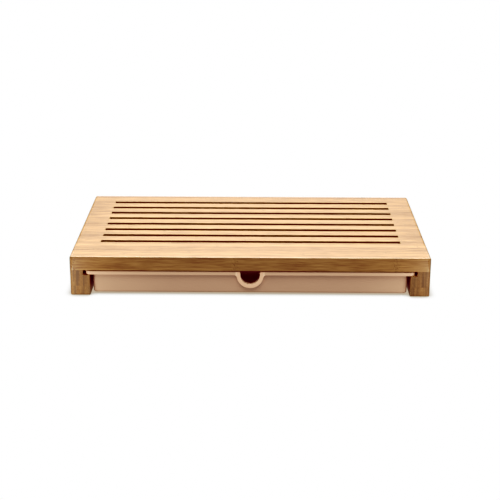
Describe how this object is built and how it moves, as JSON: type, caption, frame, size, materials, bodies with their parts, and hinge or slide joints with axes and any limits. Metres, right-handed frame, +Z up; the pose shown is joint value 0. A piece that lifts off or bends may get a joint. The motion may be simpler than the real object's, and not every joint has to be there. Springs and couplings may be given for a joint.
{
  "type": "bread board with crumb tray",
  "caption": "Slotted bamboo bread board on grooved side rails, with a pull-out moulded crumb tray that has a collared finger notch.",
  "frame": {"origin": "on the table, under the middle of the board", "axes": "+X to the right along the slots, +Y to the back, +Z up; the tray pulls out along -Y"},
  "size_m": [0.38, 0.227, 0.043],
  "materials": {
    "bamboo_panel": "sanded and oiled, satin",
    "bamboo_rail": "sanded and oiled, satin",
    "tray_plastic": "fine matt moulded"
  },
  "bodies": {
    "board": {"front_board": "bamboo_panel", "slat_1": "bamboo_panel", "slat_2": "bamboo_panel", "slat_3": "bamboo_panel", "slat_4": "bamboo_panel", "slat_5": "bamboo_panel", "slat_6": "bamboo_panel", "slat_7": "bamboo_panel", "back_board": "bamboo_panel", "spacer_left_1": "bamboo_panel", "spacer_left_2": "bamboo_panel", "spacer_left_3": "bamboo_panel", "spacer_left_4": "bamboo_panel", "spacer_left_5": "bamboo_panel", "spacer_left_6": "bamboo_panel", "spacer_left_7": "bamboo_panel", "spacer_left_8": "bamboo_panel", "spacer_right_1": "bamboo_panel", "spacer_right_2": "bamboo_panel", "spacer_right_3": "bamboo_panel", "spacer_right_4": "bamboo_panel", "spacer_right_5": "bamboo_panel", "spacer_right_6": "bamboo_panel", "spacer_right_7": "bamboo_panel", "spacer_right_8": "bamboo_panel", "side_rail_left": "bamboo_rail", "side_rail_right": "bamboo_rail", "ledge_strip_left": "bamboo_rail", "ledge_strip_right": "bamboo_rail", "back_rail": "bamboo_rail"},
    "tray": {"crumb_tray": "tray_plastic"}
  },
  "joints": [
    {"name": "tray_slide", "type": "slide", "parent": "board", "child": "tray", "axis": [0, -1, 0], "range_m": [0, 0.22]}
  ]
}
